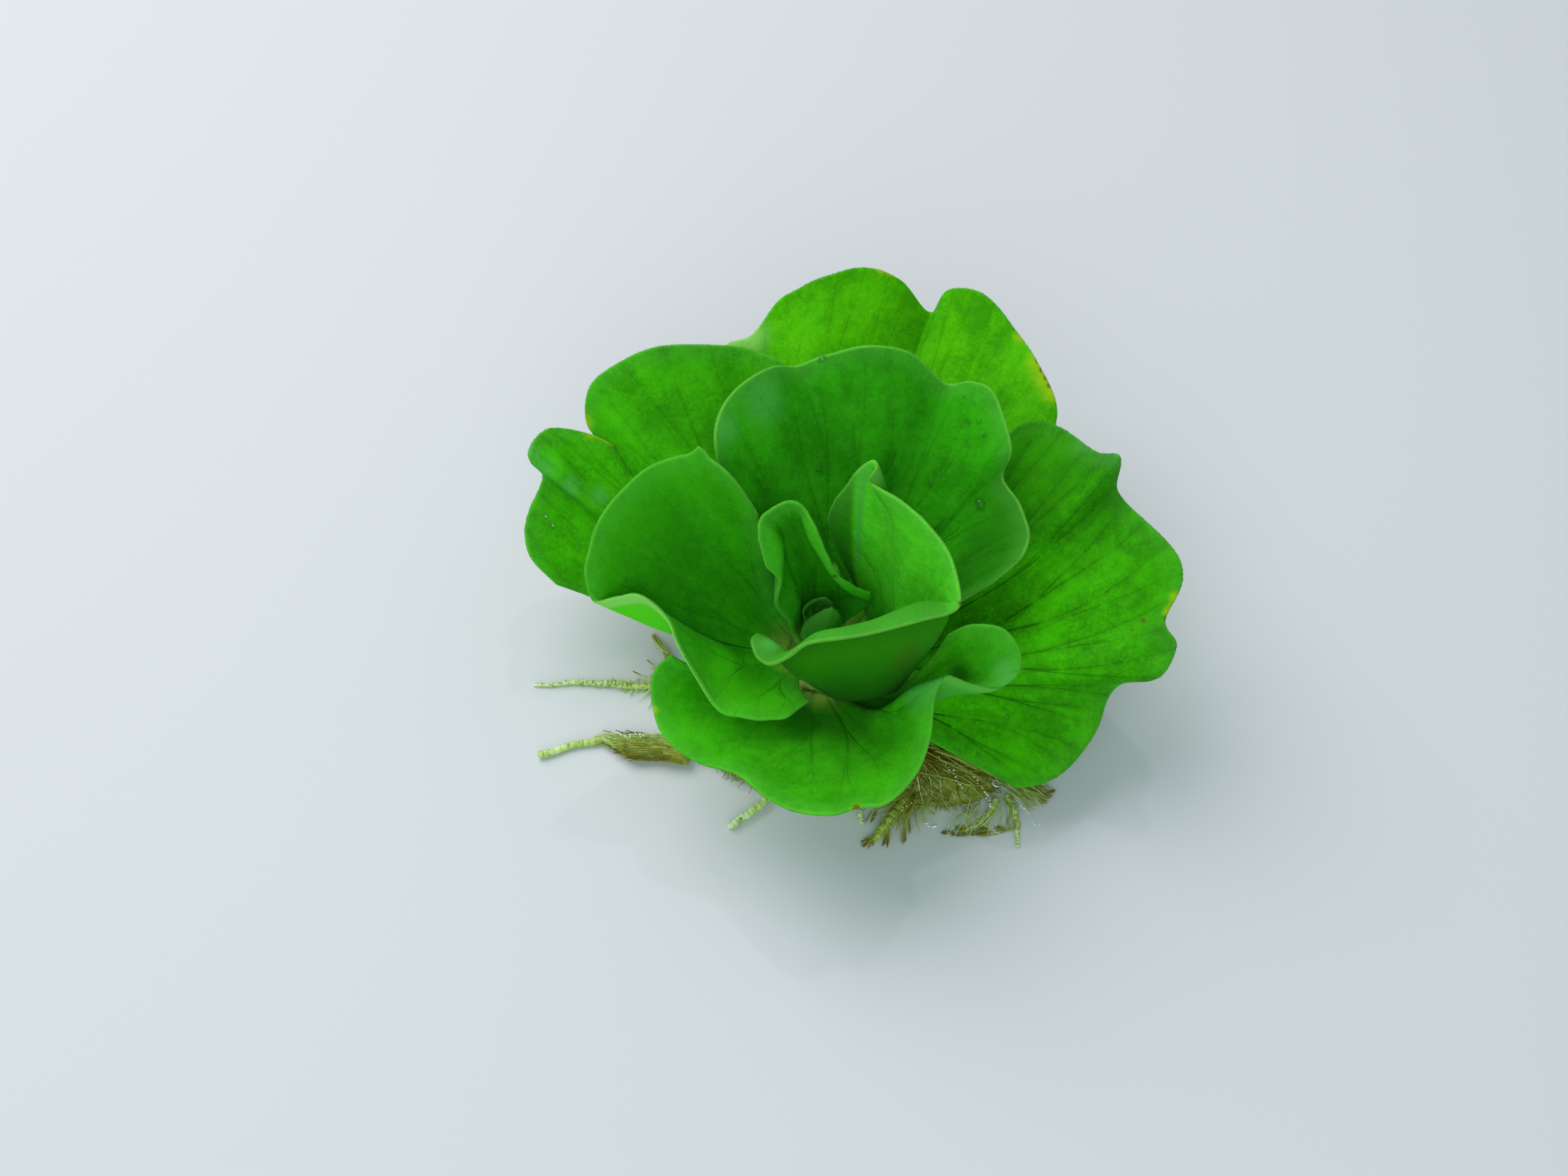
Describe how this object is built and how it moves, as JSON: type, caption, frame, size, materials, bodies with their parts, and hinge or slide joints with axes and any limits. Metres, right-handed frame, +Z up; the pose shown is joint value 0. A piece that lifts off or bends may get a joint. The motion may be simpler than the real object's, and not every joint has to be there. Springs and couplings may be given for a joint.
{
  "type": "water lettuce plant",
  "caption": "Young floating water plant: a spiral rosette of broad, notched, ruffled leaves on a short crown over a low mound of felted roots, standing out of water.",
  "frame": {"origin": "the point on the surface that the plant stands on, straight below the crown's axis; the flat underside of the root mound lies in this plane", "axes": "+Z up along the crown's axis; +X to the right and +Y away from a viewer who stands at the picture's camera"},
  "size_m": [0.0638, 0.0583, 0.0328],
  "materials": {
    "outer_leaf": "bright yellow-green leaf, fine dark net of veins, soft sheen, yellow and brown specks at the rim",
    "inner_leaf": "deep green leaf with a velvety pale bloom and a pale downy margin",
    "bud": "soft green, pale downy margin",
    "crown": "pale yellow-green, fleshy, slightly wet",
    "root_felt": "wet dark brown felt of fine roots, glossy where wet",
    "root": "pale yellow-green to brown root, with short fine side roots"
  },
  "bodies": {
    "root": {"leaf_back": "outer_leaf", "leaf_right": "outer_leaf", "leaf_left": "outer_leaf", "leaf_front": "outer_leaf", "leaf_centre_back": "inner_leaf", "leaf_left_front": "inner_leaf", "leaf_inner_right": "inner_leaf", "leaf_inner_left": "inner_leaf", "bud_leaf_front": "bud", "bud_leaf_back": "bud", "crown": "crown", "root_mat": "root_felt", "root_left_thin": "root", "root_left_thick": "root", "root_left_back": "root", "root_front": "root", "root_front_stub": "root", "root_tuft_front": "root", "root_tuft_right": "root", "root_pale_tip": "root", "root_right": "root"}
  },
  "joints": []
}
